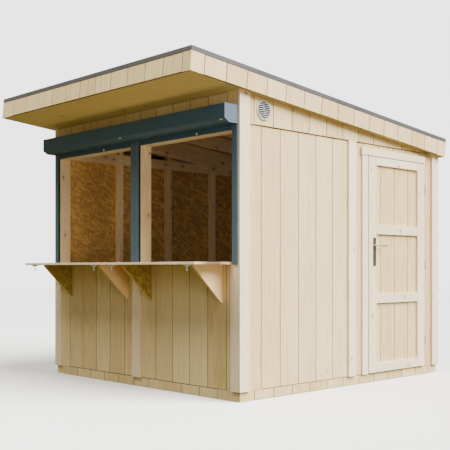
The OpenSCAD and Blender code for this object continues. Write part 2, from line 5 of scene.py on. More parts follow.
import bpy
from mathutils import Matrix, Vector


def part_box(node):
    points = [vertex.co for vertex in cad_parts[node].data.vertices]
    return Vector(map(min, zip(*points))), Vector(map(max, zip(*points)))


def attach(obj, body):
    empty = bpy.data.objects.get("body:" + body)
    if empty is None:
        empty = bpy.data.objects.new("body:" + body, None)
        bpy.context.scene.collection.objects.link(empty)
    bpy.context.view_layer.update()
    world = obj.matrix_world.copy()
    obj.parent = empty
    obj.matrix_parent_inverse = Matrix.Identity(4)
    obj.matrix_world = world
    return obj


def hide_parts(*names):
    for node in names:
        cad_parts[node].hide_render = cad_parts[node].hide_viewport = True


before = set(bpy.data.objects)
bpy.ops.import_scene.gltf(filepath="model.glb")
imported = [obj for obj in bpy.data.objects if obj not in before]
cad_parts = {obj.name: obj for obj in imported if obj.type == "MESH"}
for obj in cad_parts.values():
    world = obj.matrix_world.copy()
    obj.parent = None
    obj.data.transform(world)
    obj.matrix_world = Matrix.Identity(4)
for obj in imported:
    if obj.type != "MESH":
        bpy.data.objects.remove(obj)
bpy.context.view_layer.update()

# ------------------------------------------------------------------ studio
# A pale matt floor that bounces no light, and a surround that is white to the camera
# and a warm glow below a grey sky to everything else. A wide soft sun stands on the
# door side, and four soft lamps fill the shaded front, its corner and the room.
CAMERA_PLACE = (5.459, -5.4216, 0.963)
CAMERA_TURN = 45.83
LENS = 66.87
SHIFT = (-0.0289, 0.0947)
GROUND = 60
FLOOR_GREY = (0.92, 0.92, 0.92, 1)
GROUND_GLOW = (0.25, 0.215, 0.085, 1)
SKY_LIGHT = (0.46, 0.46, 0.45, 1)
BACKDROP = (3.25, 3.25, 3.25, 1)
SUN_WAY = (-1.0, -0.36, -1.15)

camera = bpy.data.objects.new("camera", bpy.data.cameras.new("camera"))
bpy.context.scene.collection.objects.link(camera)
camera.location = CAMERA_PLACE
camera.rotation_euler = (math.radians(90), 0, math.radians(CAMERA_TURN))
camera.data.lens = LENS
camera.data.shift_x, camera.data.shift_y = SHIFT
bpy.context.scene.camera = camera

bpy.ops.mesh.primitive_plane_add(size=GROUND)
ground = bpy.context.object
ground.name = "ground"
matt = bpy.data.materials.new("pale_floor")
matt.use_nodes = True
matt.node_tree.nodes["Principled BSDF"].inputs["Base Color"].default_value = FLOOR_GREY
matt.node_tree.nodes["Principled BSDF"].inputs["Roughness"].default_value = 0.9
ground.data.materials.append(matt)
ground.visible_diffuse = False
ground.visible_glossy = False


class Shade:
    """One socket in a material; arithmetic on it adds Math nodes."""

    def __init__(self, tree, socket=None):
        self.tree = tree
        self.socket = socket

    def make(self, kind, settings=None, sockets=None, out=0):
        """Adds a node: its settings first, then the values or links of its sockets."""
        node = self.tree.nodes.new(kind)
        for name, value in (settings or {}).items():
            setattr(node, name, value)
        for name, value in (sockets or {}).items():
            if isinstance(value, Shade):
                self.tree.links.new(value.socket, node.inputs[name])
            else:
                node.inputs[name].default_value = value
        return Shade(self.tree, node.outputs[out])

    def other(self, name):
        """Another output of the same node."""
        return Shade(self.tree, self.socket.node.outputs[name])

    def math(self, operation, first, second=0.0):
        return self.make("ShaderNodeMath", {"operation": operation}, {0: first, 1: second})

    def __add__(self, other):
        return self.math("ADD", self, other)

    def __sub__(self, other):
        return self.math("SUBTRACT", self, other)

    def __rsub__(self, other):
        return self.math("SUBTRACT", other, self)

    def __mul__(self, other):
        return self.math("MULTIPLY", self, other)

    __radd__ = __add__
    __rmul__ = __mul__


def ease(value, low, high):
    """0 below low, 1 above high and smooth between."""
    return value.make("ShaderNodeMapRange", {"interpolation_type": "SMOOTHSTEP"},
                      {"Value": value, "From Min": low, "From Max": high})


def tint(mask, first, second):
    """The first colour where the mask is 0 and the second where it is 1."""
    return mask.make("ShaderNodeMix", {"data_type": "RGBA"}, {0: mask, 6: first, 7: second}, 2)


surround = bpy.data.worlds.new("surround")
surround.use_nodes = True
bpy.context.scene.world = surround
air = Shade(surround.node_tree)
outward = air.make("ShaderNodeTexCoord", out="Generated")
rise = air.make("ShaderNodeSeparateXYZ", None, {0: outward}).other("Z")
glow = tint(ease(rise, -0.1, 0.55), GROUND_GLOW, SKY_LIGHT)
glow = tint(air.make("ShaderNodeLightPath", out="Is Camera Ray"), glow, BACKDROP)
surround.node_tree.links.new(glow.socket, surround.node_tree.nodes["Background"].inputs["Color"])


def lamp(name, place, target, size, watts, colour):
    """A square area lamp aimed at a target and hidden from the camera."""
    light = bpy.data.lights.new(name, "AREA")
    light.size = size
    light.energy = watts
    light.color = colour
    holder = bpy.data.objects.new(name, light)
    bpy.context.scene.collection.objects.link(holder)
    holder.location = place
    holder.visible_camera = False
    holder.rotation_euler = (Vector(target) - Vector(place)).to_track_quat("-Z", "Y").to_euler()


sun = bpy.data.lights.new("sun", "SUN")
sun.energy = 13.2
sun.angle = math.radians(52)
sun.color = (1.0, 0.98, 0.95)
sun_holder = bpy.data.objects.new("sun", sun)
sun_holder.rotation_euler = Vector(SUN_WAY).to_track_quat("-Z", "Y").to_euler()
bpy.context.scene.collection.objects.link(sun_holder)
lamp("front_sky", (-0.5, -5.0, 7.6), (0, -1.5, 1.0), 3.5, 620, (1.0, 0.96, 0.84))
lamp("door_side_fill", (7.0, -3.5, 0.5), (0, -1.4, 1.2), 2.0, 125, (1.0, 0.93, 0.78))
lamp("corner_fill", (2.0, -3.2, 1.7), (1.15, -1.28, 1.6), 0.8, 4.5, (0.97, 0.98, 1.0))
lamp("inside_sky", (0.7, 0.3, 1.9), (-0.3, 0.9, 1.0), 0.8, 1.9, (0.37, 0.68, 1.0))

# ------------------------------------------------------------------ floor bearers
# Square-sawn spruce joists laid on the ground, planed on all sides, with softened
# edges. They carry the floor and show only from below.
BEARER_PALE = (0.95, 0.76, 0.50, 1)
BEARER_DEEP = (0.78, 0.56, 0.31, 1)
SWIRL_BROWN = (0.42, 0.20, 0.07, 1)
KNOT_BROWN = (0.20, 0.085, 0.03, 1)
END_BROWN = (0.46, 0.27, 0.11, 1)
JOINT_BROWN = (0.10, 0.055, 0.02, 1)
SMOOTH_BELOW = 40
draw = random.Random(11)


def only(*pieces):
    """Selects these pieces alone and makes the first one active."""
    bpy.ops.object.select_all(action="DESELECT")
    for piece in pieces:
        piece.select_set(True)
    bpy.context.view_layer.objects.active = pieces[0]


@contextmanager
def editing(piece, everything=True):
    """Edit mode on one piece, with all of it selected or only what was picked before."""
    only(piece)
    bpy.ops.object.mode_set(mode="EDIT")
    if everything:
        bpy.ops.mesh.select_all(action="SELECT")
    yield
    bpy.ops.object.mode_set(mode="OBJECT")
    bpy.context.tool_settings.mesh_select_mode = (True, False, False)


def picked(piece, kind, wanted):
    """Selects the vertices, edges or polygons that are wanted, and sets that way of selecting."""
    mesh = piece.data
    for part in (*mesh.vertices, *mesh.edges, *mesh.polygons):
        part.select = False
    for part in getattr(mesh, kind):
        part.select = wanted(part)
    kinds = ("vertices", "edges", "polygons")
    bpy.context.tool_settings.mesh_select_mode = tuple(kind == each for each in kinds)


def copied(piece, name):
    """A second piece with its own copy of the mesh."""
    twin = bpy.data.objects.new(name, piece.data.copy())
    bpy.context.scene.collection.objects.link(twin)
    return twin


def from_cad(node, name):
    """A copy of a CAD node with its loose triangles merged into plain faces."""
    piece = copied(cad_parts[node], name)
    piece.data.materials.clear()
    with editing(piece):
        bpy.ops.mesh.customdata_custom_splitnormals_clear()
        bpy.ops.mesh.remove_doubles(threshold=0.00004)
        bpy.ops.mesh.dissolve_limited(angle_limit=math.radians(0.8))
        bpy.ops.mesh.faces_shade_flat()
    return piece


def modified(piece, kind, **settings):
    """Adds a modifier and applies it."""
    modifier = piece.modifiers.new(kind.lower(), kind)
    for name, value in settings.items():
        setattr(modifier, name, value)
    only(piece)
    bpy.ops.object.modifier_apply(modifier=modifier.name)


def rounded(piece, width, segments=2, beyond=30):
    """Rounds the edges where faces meet at more than an angle in degrees."""
    modified(piece, "BEVEL", width=width, segments=segments, limit_method="ANGLE",
             angle_limit=math.radians(beyond))


def joined(parts, name):
    """Makes one piece of several; the first one's mesh takes the rest."""
    only(*parts)
    if len(parts) > 1:
        bpy.ops.object.join()
    parts[0].name = name
    return parts[0]


def note(piece, name, kind, values):
    """Writes one value or vector for each point of a piece."""
    field = "vector" if kind == "FLOAT_VECTOR" else "value"
    attribute = piece.data.attributes.get(name) or piece.data.attributes.new(name, kind, "POINT")
    attribute.data.foreach_set(field, values)


def graded(piece, grain=None):
    """Gives each separate board of a piece its own number and the way its grain runs."""
    only(piece)
    name = piece.name
    bpy.ops.mesh.separate(type="LOOSE")
    parts = sorted(bpy.context.selected_objects, key=lambda p: p.name)
    for part in parts:
        corners = [Vector(c) for c in part.bound_box]
        size = corners[6] - corners[0]
        way = grain or [float(side == max(size)) for side in size]
        count = len(part.data.vertices)
        note(part, "grain", "FLOAT_VECTOR", list(way) * count)
        note(part, "board", "FLOAT", [draw.random()] * count)
    return joined(parts, name)


def fixed(piece, material, body="hut"):
    """Finishes a piece: its material, its soft shading and the body it rides on."""
    piece.data.materials.clear()
    piece.data.materials.append(material)
    only(piece)
    bpy.ops.object.shade_smooth_by_angle(angle=math.radians(SMOOTH_BELOW))
    modified(piece, "WEIGHTED_NORMAL", keep_sharp=True)
    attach(piece, body)


def planed(node, material, edge=0.002, body="hut", grain=None):
    """Timber of the CAD node's own shape, with its edges taken off."""
    piece = from_cad(node, node + "_planed")
    rounded(piece, edge)
    piece = graded(piece, grain)
    fixed(piece, material, body)
    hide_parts(node)
    return piece


def vector(operation, first, second, out="Vector"):
    """Vector Math on two vectors, or a vector and a scale."""
    key = "Scale" if operation == "SCALE" else 1
    return first.make("ShaderNodeVectorMath", {"operation": operation}, {0: first, key: second}, out)


def noise(place, scale=1.0, detail=2.0):
    """A smooth random value between 0 and 1 at each place."""
    return place.make("ShaderNodeTexNoise", None, {"Vector": place, "Scale": scale, "Detail": detail})


def lot(cells):
    """The random number that each cell of a Voronoi pattern has."""
    return cells.make("ShaderNodeSeparateColor", None, {0: cells.other("Color")})


def blank(name, metallic=0.0):
    """A new material: the wrapped tree and its shader node."""
    material = bpy.data.materials.new(name)
    material.use_nodes = True
    surface = material.node_tree.nodes["Principled BSDF"]
    surface.inputs["Metallic"].default_value = metallic
    return material, Shade(material.node_tree), surface


def coated(surface, colour, roughness, height, strength, depth):
    """Links a colour, a roughness and a height to the shader."""
    tree = colour.tree
    bump = colour.make("ShaderNodeBump", None, {"Height": height, "Strength": strength, "Distance": depth})
    tree.links.new(colour.socket, surface.inputs["Base Color"])
    tree.links.new(roughness.socket, surface.inputs["Roughness"])
    tree.links.new(bump.socket, surface.inputs["Normal"])


def timber(name, pale, deep, knotty=0.5, knot_size=0.05, figure=1.0, rough=0.52):
    """Softwood: growth rings and fine streaks that follow each board, knots, and dark joints."""
    material, start, surface = blank(name)
    place = start.make("ShaderNodeTexCoord", out="Object")
    facing = start.make("ShaderNodeTexCoord", out="Normal")
    grain = start.make("ShaderNodeAttribute", {"attribute_name": "grain"}, out="Vector")
    board = start.make("ShaderNodeAttribute", {"attribute_name": "board"}, out="Fac")
    seam = start.make("ShaderNodeAttribute", {"attribute_name": "joint"}, out="Fac")
    along = vector("SCALE", grain, vector("DOT_PRODUCT", place, grain, "Value"))
    across = vector("SUBTRACT", place, along)
    offset = vector("SCALE", start.make("ShaderNodeCombineXYZ", None, {0: 37.1, 1: 53.7, 2: 71.3}), board)

    def stretched(over, down):
        scaled = vector("ADD", vector("SCALE", across, over), vector("SCALE", along, down))
        return vector("ADD", scaled, offset)

    sideways = vector("DOT_PRODUCT", place, vector("CROSS_PRODUCT", facing, grain), "Value")
    lengthways = vector("DOT_PRODUCT", place, grain, "Value")
    spot = start.make("ShaderNodeCombineXYZ", None,
                      {0: sideways * 5.6 + board * 37.1, 1: lengthways * 3.3 + board * 53.7})
    cells = start.make("ShaderNodeTexVoronoi", {"voronoi_dimensions": "2D"}, {"Vector": spot, "Scale": 1.0})
    lucky = ease(lot(cells), 1.0 - knotty, 1.02 - knotty)
    knot = lucky * (1 - ease(cells, 0.6 * knot_size, knot_size))
    swirl = lucky * (1 - ease(cells, knot_size, 4 * knot_size))
    streaks = noise(stretched(150.0, 2.4), detail=3.0)
    field = noise(stretched(9.0, 0.42), detail=1.2) + swirl * 0.10
    rings = ease(start.math("SINE", field * 118.0) * 0.5 + 0.5, 0.35, 1.0)
    drift = noise(stretched(3.0, 0.7))
    amount = rings * (0.34 * figure) + (streaks - 0.5) * (1.2 * figure) + (drift - 0.5) * 0.9 + board * 0.50
    colour = tint(amount, pale, deep)
    colour = tint(swirl * 0.25, colour, SWIRL_BROWN)
    colour = tint(knot * 0.85, colour, KNOT_BROWN)
    end = ease(start.math("ABSOLUTE", vector("DOT_PRODUCT", facing, grain, "Value")), 0.6, 0.9)
    colour = tint(end * 0.35, colour, END_BROWN)
    colour = tint(ease(seam, 0.02, 0.55) * 0.9, colour, JOINT_BROWN)
    relief = rings * 0.5 + streaks + knot * 0.6
    coated(surface, colour, streaks * 0.16 + (rough - 0.06), relief, 0.22, 0.0008)
    return material


frame_timber = timber("frame_timber", BEARER_PALE, BEARER_DEEP, knotty=0.55, figure=1.2)
planed("floor_bearers", frame_timber)

# ------------------------------------------------------------------ plinth boards
# A skirt of tongued boards cut short, nailed to the bearers all round. The boards are
# cut from the CAD slab at each joint, and their meeting edges are chamfered to a vee.
BOARD = 0.204
VEE = 0.0042
PLINTH_FIRST_Y = -1.112
PLINTH_FIRST_X = -1.077
CLAD_PALE = (0.82, 0.64, 0.35, 1)
CLAD_DEEP = (0.58, 0.40, 0.165, 1)
X, Y, Z = Vector((1, 0, 0)), Vector((0, 1, 0)), Vector((0, 0, 1))
GAP = 0.0001
NEAR = 0.00005
FAR = 9.0
CORNER = 0.03


def joints_from(first, pitch, low, high):
    """Every joint between low and high that lies a whole number of boards from the first."""
    start = math.ceil((low - first) / pitch)
    stop = math.floor((high - first) / pitch)
    return [first + i * pitch for i in range(start, stop + 1)]


def boarded(node, along, through, joints, grain, vee=VEE):
    """The CAD slab cut into boards, across the way that along points."""
    slab = from_cad(node, node + "_boards")
    cuts = [-FAR, *joints, FAR]
    boards = []
    for low, high in zip(cuts, cuts[1:]):
        board = copied(slab, f"{node}_board")
        low, high = low + GAP, high - GAP
        for place, side in ((low, "clear_inner"), (high, "clear_outer")):
            if abs(place) < FAR - 1:
                with editing(board):
                    bpy.ops.mesh.bisect(plane_co=along * place, plane_no=along, use_fill=True,
                                        threshold=0.00001, **{side: True})
        mesh = board.data
        if not mesh.polygons:
            bpy.data.objects.remove(board)
            continue

        def on_joint(vertex):
            return min(abs(vertex.co.dot(along) - low), abs(vertex.co.dot(along) - high)) < NEAR

        def is_lip(edge):
            ends = [mesh.vertices[i] for i in edge.vertices]
            run = (ends[1].co - ends[0].co).normalized()
            return all(map(on_joint, ends)) and abs(run.dot(through)) < 0.5

        picked(board, "edges", lambda edge: vee > 0 and is_lip(edge))
        if any(edge.select for edge in mesh.edges):
            with editing(board, everything=False):
                bpy.ops.mesh.bevel(offset=vee, segments=1, affect="EDGES")
        note(board, "joint", "FLOAT", [float(vee > 0 and on_joint(v)) for v in mesh.vertices])
        boards.append(board)
    bpy.data.objects.remove(slab)
    piece = graded(joined(boards, node + "_boards"), grain)
    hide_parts(node)
    return piece


cladding = timber("cladding", CLAD_PALE, CLAD_DEEP, knotty=0.03, knot_size=0.03, figure=0.85)
for node, along, through, first in (("plinth_front_back", X, Y, PLINTH_FIRST_X),
                                    ("plinth_sides", Y, X, PLINTH_FIRST_Y)):
    low, high = (corner.dot(along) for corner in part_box(node))
    fixed(boarded(node, along, through, joints_from(first, BOARD, low + CORNER, high - CORNER), Z),
          cladding)

# ------------------------------------------------------------------ floor boards
# Tongued spruce boards nailed across the bearers, a darker tone than the frame, with a fine vee at
# each joint.
FLOOR_BOARD = 0.121
FLOOR_EDGE = 0.02
floor_boards = timber("floor_boards", pale=(0.62, 0.44, 0.24, 1), deep=(0.46, 0.29, 0.13, 1), knotty=0.35)
low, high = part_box("floor_deck")
joints = joints_from(0, FLOOR_BOARD, low.y + FLOOR_EDGE, high.y - FLOOR_EDGE)
fixed(boarded("floor_deck", Y, Z, joints, X, vee=0.0015), floor_boards)

# ------------------------------------------------------------------ wall frames
# Planed spruce studs, plates, rails and posts with softened edges, nailed together
# and left bare inside. The posts beside the openings are the golden reveals.
for node in ("bottom_plates", "wall_studs", "top_rails", "front_posts", "front_rails"):
    planed(node, frame_timber, edge=0.003)

# ------------------------------------------------------------------ wall linings
# Sheets of strand board behind the cladding: flat wood strands of every shade pressed
# at all angles, so the face is a patchwork. The CAD sheets stay and take the finish.


def strand_board(name, pale, deep):
    """Pressed wood strands: five layers of long cells, each laid at its own angle."""
    material, start, surface = blank(name)
    place = start.make("ShaderNodeTexCoord", out="Object")
    split = start.make("ShaderNodeSeparateXYZ", None, {0: place})
    spread = start.make("ShaderNodeCombineXYZ", None, {0: split + split.other("Y"), 1: split.other("Z")})
    shade = noise(spread, 3.0) * 0.5
    relief = noise(spread, 60.0) * 0.4
    for turn, length in ((0.15, 0.085), (1.1, 0.070), (2.2, 0.090), (1.6, 0.065), (2.8, 0.060)):
        laid = start.make("ShaderNodeMapping", {"vector_type": "TEXTURE"},
                          {"Vector": spread, "Rotation": (0, 0, turn), "Scale": (length, length / 5, 1)})
        strand = start.make("ShaderNodeTexVoronoi", None, {"Vector": laid, "Scale": 1.0, "Randomness": 1.0})
        tone = lot(strand)
        mask = ease(tone, 0.52, 0.56)
        shade = start.make("ShaderNodeMix", None, {0: mask, 2: shade, 3: ease(tone, 0.5, 0.85)})
        relief = start.make("ShaderNodeMix", None, {0: mask, 2: relief, 3: 1 - strand})
    coated(surface, tint(shade, pale, deep), shade * 0.2 + 0.5, relief, 0.35, 0.0012)
    return material


lining = strand_board("lining_sheet", pale=(0.82, 0.50, 0.16, 1), deep=(0.50, 0.28, 0.075, 1))
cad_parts["wall_linings"].material_slots[0].material = lining

# ------------------------------------------------------------------ lower cladding
# Tongued vertical boards nailed to the linings in panels, each joint a fine vee.
# The panels of the front meet under the middle batten, so each has its own first joint.
FRONT_FIRST = (-0.992, 0.239)
SIDE_FIRST = -1.043
BACK_FIRST = 0.102
MARGIN = 0.012
MIDDLE_CLEAR = 0.1

low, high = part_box("front_wall_lower")
left_joints = joints_from(FRONT_FIRST[0], BOARD, low.x, -MIDDLE_CLEAR)
right_joints = joints_from(FRONT_FIRST[1], BOARD, MIDDLE_CLEAR, high.x)
fixed(boarded("front_wall_lower", X, Y, [*left_joints, 0.0, *right_joints], Z), cladding)
low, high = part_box("back_wall")
fixed(boarded("back_wall", X, Y, joints_from(BACK_FIRST, BOARD, low.x, high.x), Z), cladding)
for node in ("left_wall", "right_wall_front", "right_wall_rear", "right_wall_over_door"):
    low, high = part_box(node)
    joints = joints_from(SIDE_FIRST, BOARD, low.y + MARGIN, high.y - MARGIN)
    fixed(boarded(node, Y, X, joints, Z), cladding)

# ------------------------------------------------------------------ upper cladding
# A band of the same boards over the wall panels, standing a little proud of them and
# cut to the roof's slope. The first joint differs because the band is its own panel.
BAND_FIRST_X = 1.075
BAND_FIRST_Y = -0.923

low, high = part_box("front_wall_upper")
joints = joints_from(BAND_FIRST_X, BOARD, low.x + MARGIN, high.x)
fixed(boarded("front_wall_upper", X, Y, joints, Z), cladding)
for node in ("gable_left", "gable_right"):
    low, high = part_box(node)
    fixed(boarded(node, Y, X, joints_from(BAND_FIRST_Y, BOARD, low.y, high.y), Z), cladding)

# ------------------------------------------------------------------ battens and corner boards
# Planed boards of a paler batch with rounded edges, nailed over the panel joints and
# round the corners.
TRIM_PALE = (0.92, 0.79, 0.60, 1)
TRIM_DEEP = (0.76, 0.58, 0.36, 1)
trim = timber("trim_boards", TRIM_PALE, TRIM_DEEP, knotty=0.75, knot_size=0.034, figure=0.6, rough=0.48)
for node in ("cover_battens", "corner_boards_sides", "corner_boards_ends"):
    planed(node, trim, edge=0.0025)

# ------------------------------------------------------------------ rafters and roof boards
# Rafters on edge down the slope, and tongued boards nailed across them, seen from
# inside between the rafters.
PITCH = math.radians(5.4)
DOWN = Vector((0, math.cos(PITCH), -math.sin(PITCH)))
UP = Vector((0, math.sin(PITCH), math.cos(PITCH)))
ROOF_BOARD = 0.121
ROOF_FIRST = -1.9
ROOF_LAST = 0.1
planed("rafters", frame_timber, edge=0.003, grain=list(DOWN))
roof_boards = timber("roof_boards", pale=(0.60, 0.38, 0.17, 1), deep=(0.44, 0.25, 0.09, 1), knotty=0.5)
low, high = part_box("roof_deck")
joints = joints_from(ROOF_FIRST, ROOF_BOARD, low.y, high.y - ROOF_LAST)
fixed(boarded("roof_deck", DOWN, UP, joints, X, vee=0.002), roof_boards)

# ------------------------------------------------------------------ soffit
# Plywood sheets under the overhangs, screwed to the rafters, face grain from side to
# side. Their gold is the sheet's tone made more saturated, to paint in the warm light bounced under the
# overhang.
SOFFIT_PALE = (0.86, 0.66, 0.25, 1)
SOFFIT_DEEP = (0.72, 0.52, 0.17, 1)
soffit_sheet = timber("soffit_sheet", SOFFIT_PALE, SOFFIT_DEEP, knotty=0.12, figure=0.6)
planed("soffit", soffit_sheet, edge=0.001, grain=[1, 0, 0])

# ------------------------------------------------------------------ fascia
# The cladding boards again, cut short, set square to the roof's slope and nailed side
# by side all round its edge.
FASCIA_FIRST_X = 1.173
FASCIA_FIRST_Y = -1.657
FASCIA_FRONT_Z = 2.30
FASCIA_BACK_Z = 2.05
low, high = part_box("fascia_front_back")
joints = joints_from(FASCIA_FIRST_X, BOARD, low.x + CORNER, high.x)
fixed(boarded("fascia_front_back", X, DOWN, joints, UP), cladding)
low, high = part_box("fascia_sides")
first = DOWN.dot((0, FASCIA_FIRST_Y, FASCIA_FRONT_Z))
front_end = DOWN.dot((0, low.y, FASCIA_FRONT_Z))
back_end = DOWN.dot((0, high.y, FASCIA_BACK_Z))
joints = joints_from(first, BOARD, front_end, back_end)
fixed(boarded("fascia_sides", DOWN, X, joints, UP), cladding)

# ------------------------------------------------------------------ roof covering
# Granule-faced felt in sheets laid across the slope. Each sheet's lower edge laps the
# next one down, so the surface steps a little at every lap.
SHEET = 0.93
LAPS = 3
LAP = 0.002
FELT_BLACK = (0.035, 0.036, 0.038, 1)
FELT_GREY = (0.115, 0.115, 0.118, 1)


def roof_felt(name):
    """Grey mineral granules on black felt."""
    material, start, surface = blank(name)
    place = start.make("ShaderNodeTexCoord", out="Object")
    grit = start.make("ShaderNodeTexVoronoi", None, {"Vector": place, "Scale": 620.0})
    stone = lot(grit)
    drift = noise(place, 2.2, 4.0)
    colour = tint(stone * 0.7 + drift * 0.3, FELT_BLACK, FELT_GREY)
    coated(surface, colour, stone * 0.15 + 0.78, 1 - grit, 0.5, 0.0009)
    return material


low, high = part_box("roof_covering")
ridge = DOWN.dot((0, low.y, high.z))
laps = [ridge + (sheet + 1) * SHEET for sheet in range(LAPS)]
covering = boarded("roof_covering", DOWN, UP, laps, X, vee=0)
surface_height = UP.dot(max((v.co for v in covering.data.vertices), key=UP.dot))


def at_foot(vertex):
    """On the upper face, at the lower edge of a sheet."""
    from_foot = min(abs(vertex.co.dot(DOWN) - (lap - GAP)) for lap in laps)
    return from_foot < NEAR and surface_height - vertex.co.dot(UP) < LAP


picked(covering, "vertices", at_foot)
with editing(covering, everything=False):
    bpy.ops.transform.translate(value=UP * LAP)
fixed(covering, roof_felt("roof_membrane"))

# ------------------------------------------------------------------ roof edge metal
# Folded strips of coated sheet, nailed over the kerb and the fascia's top, in lengths
# that butt at neat seams. The drip edge's folds are softly rounded.
SEAMS = (-0.2, 1.1)


def sheet_metal(name, light, dark, rough, metallic=0.0, peel=0.12):
    """Coated or bare sheet: slow changes of tone, scuffs, and a slight orange peel."""
    material, start, surface = blank(name, metallic)
    place = start.make("ShaderNodeTexCoord", out="Object")
    cloud = noise(place, 3.5, 4.0)
    scuffs = ease(noise(place, 38.0, 6.0), 0.60, 0.74)
    colour = tint(cloud + scuffs * 0.35 - 0.1, dark, light)
    roughness = cloud * 0.14 + scuffs * 0.10 + (rough - 0.08)
    coated(surface, colour, roughness, noise(place, 420.0, 2.0), peel, 0.0004)
    return material


roof_metal = sheet_metal("roof_metal", light=(0.11, 0.11, 0.113, 1), dark=(0.06, 0.06, 0.063, 1),
                         rough=0.45)
fixed(boarded("roof_edge_trim", DOWN, UP, SEAMS, X, vee=0.0007), roof_metal)
planed("drip_edge", roof_metal, edge=0.0006)

# ------------------------------------------------------------------ shutter boxes
# Two boxes of folded and coated sheet hold the rolled-up shutters, with a chamfered
# front fold, a riveted cap on each end, and an oval plug near each right-hand end.
SLATE = (0.048, 0.108, 0.170, 1)
SLATE_DEEP = (0.037, 0.087, 0.140, 1)
# The caps' colours are the boxes' slate made paler: painted light, as the ends look where the sun falls on
# them.
CAP_PAINTED_LIGHT_PALE = (0.122, 0.160, 0.215, 1)
CAP_PAINTED_LIGHT_DEEP = (0.096, 0.128, 0.176, 1)
CAP_SLICE = 0.001
CAP_OUT = 0.0018
CAP_RIM = 0.007
CAP_FOLD = 0.0015
CAP_SUNK = 0.0012
RIVET = 0.0035
RIVET_OUT = 0.0005
RIVET_IN = 0.020
FRONT_RIVET_IN = 0.030
FOLD_RIVET_UP = 0.062
BOX_MEET = -0.0005
PLUG_FROM_END = 0.046
PLUG_DEEP = 0.0105
PLUG_Z = 2.009
PLUG_OVAL = (2.1, 0.72, 1)
PLUG_FACING = (0, -28, -44)

shutter_metal = sheet_metal("shutter_metal", SLATE, SLATE_DEEP, 0.44, peel=0.2)
shutter_metal.node_tree.nodes["Principled BSDF"].inputs["Specular IOR Level"].default_value = 0.3


def settled(piece):
    """Applies a piece's place, turn and scale to its mesh."""
    only(piece)
    bpy.ops.object.transform_apply(location=True, rotation=True, scale=True)
    return piece


def block(name, low, high):
    """A bar between two corners, the start of a shaped piece."""
    low, high = Vector(low), Vector(high)
    bpy.ops.object.select_all(action="DESELECT")
    bpy.ops.mesh.primitive_cube_add(size=1, location=(low + high) / 2, scale=high - low)
    bpy.context.object.name = name
    return settled(bpy.context.object)


def placed(piece, centre, axis=(0, 0, 1)):
    """Turns a piece made about Z to its axis and moves it to its place."""
    piece.rotation_euler = Vector(axis).to_track_quat("Z", "Y").to_euler()
    piece.location = centre
    return settled(piece)


def turned(name, steps, sides=20):
    """A round piece about Z, drawn up from a disc through steps of radius and height."""
    bpy.ops.object.select_all(action="DESELECT")
    radius, height = steps[0]
    bpy.ops.mesh.primitive_circle_add(vertices=sides, radius=radius, fill_type="NGON",
                                      location=(0, 0, height))
    piece = settled(bpy.context.object)
    piece.name = name
    with editing(piece):
        for to_radius, to_height in steps[1:]:
            bpy.ops.mesh.extrude_region_move(TRANSFORM_OT_translate={"value": (0, 0, to_height - height)})
            ratio = to_radius / radius
            bpy.ops.transform.resize(value=(ratio, ratio, 1), center_override=(0, 0, to_height))
            radius, height = to_radius, to_height
        bpy.ops.mesh.select_all(action="SELECT")
        bpy.ops.mesh.normals_make_consistent(inside=False)
    return piece


def screw(centre, axis, radius, sides=14):
    """A low screw head, chamfered, with a round driver recess."""
    steps = [(radius, 0), (radius, 0.20 * radius), (0.80 * radius, 0.42 * radius),
             (0.36 * radius, 0.46 * radius), (0.30 * radius, 0.10 * radius)]
    return placed(turned("screw", steps, sides), centre, axis)


boxes = from_cad("shutter_boxes", "shutter_boxes_folded")
rounded(boxes, 0.0030, segments=3, beyond=20)
low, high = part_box("shutter_boxes")
rivets = [(high.y - RIVET_IN, high.z - RIVET_IN), (low.y + FRONT_RIVET_IN, high.z - RIVET_IN),
          (high.y - RIVET_IN, low.z + RIVET_IN), ((low.y + high.y) / 2, low.z + FOLD_RIVET_UP)]
caps = []
for end, side in ((low.x, -1), (high.x, 1)):
    cap = from_cad("shutter_boxes", "cap")
    with editing(cap):
        bpy.ops.mesh.bisect(plane_co=(end - side * CAP_SLICE, 0, 0), plane_no=(side, 0, 0),
                            use_fill=True, clear_inner=True)
    with editing(cap):
        bpy.ops.transform.translate(value=(side * CAP_OUT, 0, 0))
    picked(cap, "polygons", lambda face: face.normal.x * side > 0.9)
    with editing(cap, everything=False):
        bpy.ops.mesh.inset(thickness=CAP_RIM, depth=0)
        bpy.ops.mesh.inset(thickness=CAP_FOLD, depth=-CAP_SUNK)
    caps.append(cap)
    for y, z in rivets:
        caps.append(screw((end + side * RIVET_OUT, y, z), (side, 0, 0), RIVET))
fixed(boxes, shutter_metal)
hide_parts("shutter_boxes")
# The caps take the boxes' slate paint lightened: painted light of the sun on the box ends.
sunlit_cap_paint = sheet_metal("shutter_cap_metal", CAP_PAINTED_LIGHT_PALE, CAP_PAINTED_LIGHT_DEEP, 0.36)
fixed(joined(caps, "shutter_box_caps"), sunlit_cap_paint)

zinc = sheet_metal("zinc_fittings", light=(0.78, 0.77, 0.74, 1), dark=(0.52, 0.52, 0.51, 1),
                   rough=0.34, metallic=0.85, peel=0.1)
bright_zinc = sheet_metal("bright_zinc", light=(0.90, 0.90, 0.82, 1), dark=(0.72, 0.72, 0.64, 1),
                          rough=0.36, metallic=0.2, peel=0.1)
plugs = []
for end in (BOX_MEET, high.x):
    plug = turned("plug", [(0.0070, 0), (0.0070, 0.0014), (0.0054, 0.0024), (0.0012, 0.0026)])
    plug.scale = PLUG_OVAL
    plugs.append(placed(plug, (end - PLUG_FROM_END, low.y + PLUG_DEEP, PLUG_Z), PLUG_FACING))
fixed(joined(plugs, "shutter_box_plugs"), bright_zinc)

